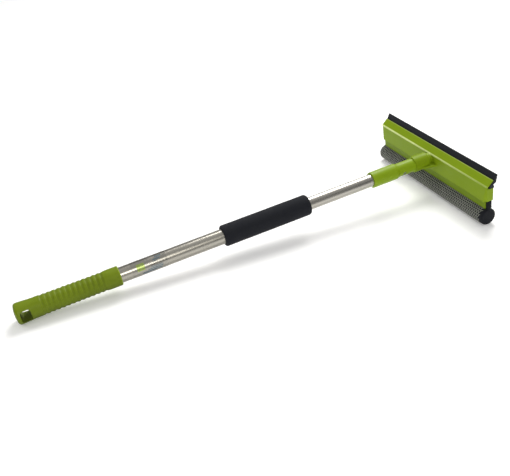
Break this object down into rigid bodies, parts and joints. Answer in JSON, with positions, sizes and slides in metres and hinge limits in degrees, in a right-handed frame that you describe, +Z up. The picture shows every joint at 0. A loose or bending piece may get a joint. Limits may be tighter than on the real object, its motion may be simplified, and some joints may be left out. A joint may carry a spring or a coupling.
{
  "type": "window cleaning squeegee",
  "caption": "Telescopic window squeegee with a rubber blade above a net-covered sponge, on a twist-lock pole with a foam sleeve and a ribbed grip.",
  "frame": {"origin": "centre of the bounding box on the surface it lies on", "axes": "+X along the head, +Y from the grip to the head, +Z up; the handle rises towards the head by about 3.5 degrees"},
  "size_m": [0.266, 0.6616, 0.08],
  "materials": {
    "green_plastic": "satin moulded plastic",
    "grip_plastic": "soft matte plastic",
    "steel_tube": "drawn steel tube",
    "label_film": "printed film",
    "foam": "closed-cell foam",
    "blade_rubber": "smooth rubber",
    "sponge_foam": "open-cell foam",
    "net": "knitted net",
    "black_plastic": "moulded plastic",
    "white_plastic": "moulded plastic",
    "zinc_steel": "zinc plated"
  },
  "bodies": {
    "outer_pole": {"grip": "grip_plastic", "outer_tube": "steel_tube", "label": "label_film", "foam_grip": "foam", "guide_bush": "black_plastic"},
    "lock_shoe": {"lock_collet": "white_plastic"},
    "inner_pole": {"inner_tube": "steel_tube", "lock_plug": "white_plastic", "lock_rivet": "zinc_steel", "stud_cap": "zinc_steel", "pole_adapter": "green_plastic", "adapter_screw": "zinc_steel", "head_front": "green_plastic", "head_rear": "green_plastic", "head_screws": "zinc_steel", "rubber_blade": "blade_rubber", "sponge_core": "sponge_foam", "net_cover": "net", "sponge_rail": "white_plastic"},
    "lock_wedge": {"lock_cone": "black_plastic"}
  },
  "joints": [
    {"name": "pole_slide", "type": "slide", "parent": "outer_pole", "child": "lock_shoe", "axis": [0, 0.9981, 0.0619], "range_m": [-0.092, 0.2]},
    {"name": "pole_twist", "type": "hinge", "parent": "lock_shoe", "child": "inner_pole", "pos_m": [0, -0.18201, 0.02377], "axis": [0, 0.9981, 0.0619], "range_deg": [0, 180]},
    {"name": "cone_travel", "type": "slide", "parent": "lock_shoe", "child": "lock_wedge", "axis": [0, -0.9981, -0.0619], "range_m": [0, 0.0016]}
  ],
  "couplings": [
    {"joint": "cone_travel", "follows": "pole_twist", "m_per_rad": 0.00047746}
  ]
}
